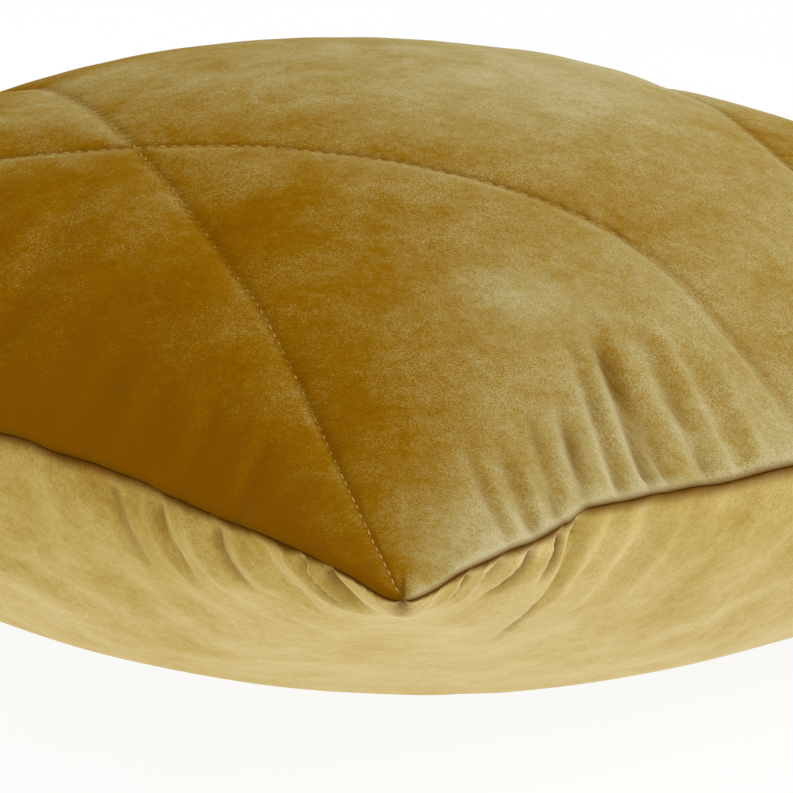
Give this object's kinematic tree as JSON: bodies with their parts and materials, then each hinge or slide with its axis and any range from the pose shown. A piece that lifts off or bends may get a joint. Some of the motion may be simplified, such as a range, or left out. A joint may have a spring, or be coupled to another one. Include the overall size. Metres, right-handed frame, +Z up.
{
  "type": "throw pillow",
  "caption": "Square velvet throw pillow with a line-quilted front, plain back, hidden zipper and filled insert.",
  "frame": {"origin": "centre of the footprint, on the surface that the pillow rests on", "axes": "+Z up, out of the quilted front face; +X along the zipper's edge, in the direction that the zipper opens; +Y towards the zipper's edge"},
  "size_m": [0.457, 0.457, 0.16],
  "materials": {
    "velvet_front": "velvet",
    "velvet_back": "velvet",
    "thread": "twisted",
    "fibre": "loose",
    "cloth": "plain weave",
    "label": "satin",
    "zipper_tape": "twill",
    "zipper_coil": "satin",
    "zipper_metal": "satin"
  },
  "bodies": {
    "pillow": {"front_panel": "velvet_front", "quilt_wadding": "fibre", "quilt_backing": "cloth", "back_panel": "velvet_back", "quilting_thread_1": "thread", "quilting_thread_2": "thread", "quilting_thread_3": "thread", "quilting_thread_4": "thread", "edge_seam_thread": "thread", "care_label": "label", "zipper_tape_front": "zipper_tape", "zipper_tape_back": "zipper_tape", "zipper_stitching_front": "thread", "zipper_stitching_back": "thread", "zipper_coil_front": "zipper_coil", "zipper_coil_back": "zipper_coil", "zipper_top_stops": "zipper_metal", "zipper_bottom_stop": "zipper_metal", "insert_case_front": "cloth", "insert_case_back": "cloth", "insert_seam_thread": "cloth", "insert_fill": "fibre"},
    "slider": {"zipper_slider": "zipper_metal"},
    "pull": {"zipper_pull": "zipper_metal"}
  },
  "joints": [
    {"name": "zipper_slide", "type": "slide", "parent": "pillow", "child": "slider", "axis": [1, 0, 0], "range_m": [0, 0.2954]},
    {"name": "pull_swing", "type": "hinge", "parent": "slider", "child": "pull", "pos_m": [-0.1477, 0.20158, 0.084], "axis": [0, 0, 1], "range_deg": [0, 175]}
  ]
}
